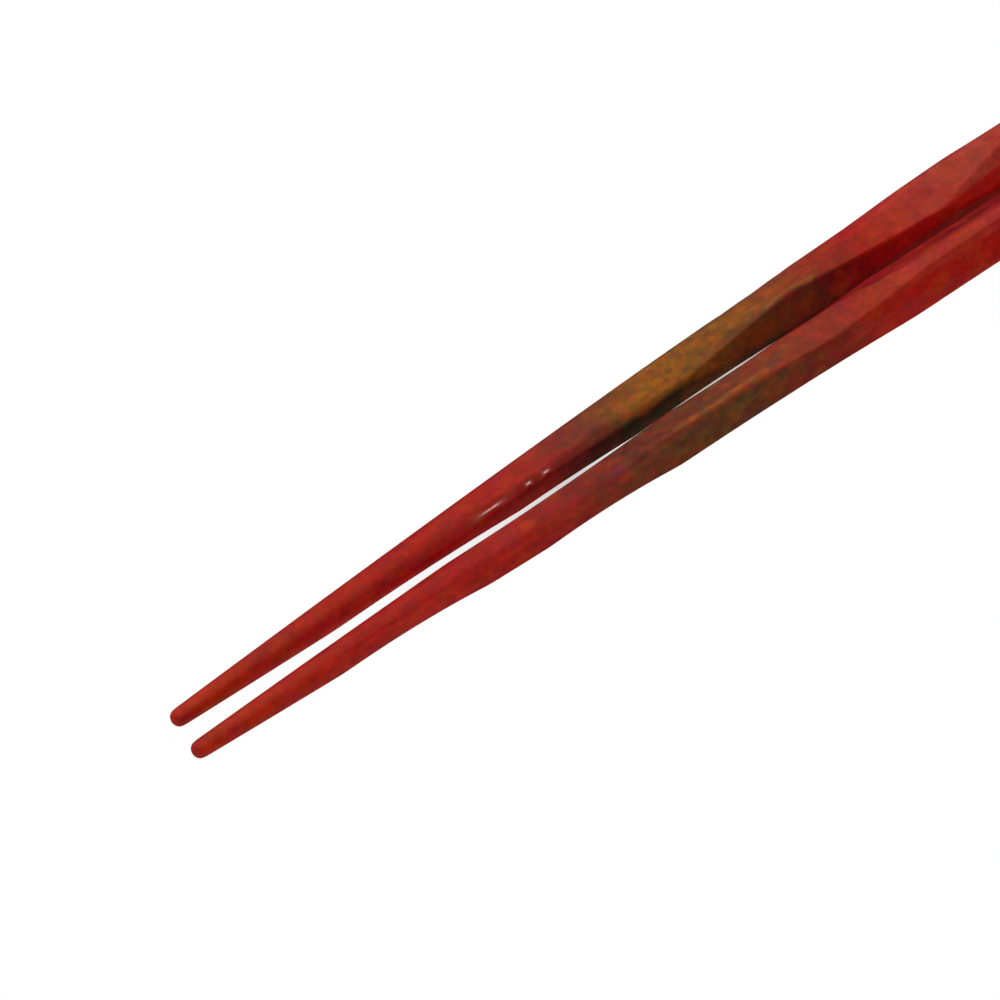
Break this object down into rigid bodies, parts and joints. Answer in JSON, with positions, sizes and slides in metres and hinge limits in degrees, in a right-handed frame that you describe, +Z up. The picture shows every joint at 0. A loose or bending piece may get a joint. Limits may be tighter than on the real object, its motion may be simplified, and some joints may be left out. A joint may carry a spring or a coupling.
{
  "type": "chopsticks",
  "caption": "Slim tapered wooden chopsticks with blunt rounded tips and hand-carved faceted handles, laid side by side, red lacquer with a gold and brown-black band.",
  "frame": {"origin": "under the middle of the pair, on the surface that the sticks lie on", "axes": "+X along the pair from the eating tips to the butts, +Y from the front stick to the rear stick, +Z up"},
  "size_m": [0.2318, 0.019, 0.0073],
  "materials": {
    "red_lacquer": "carved wood under satin red lacquer, with a mottled gold and brown-black band part way along"
  },
  "bodies": {
    "root": {"rear_chopstick": "red_lacquer", "front_chopstick": "red_lacquer"}
  },
  "joints": []
}
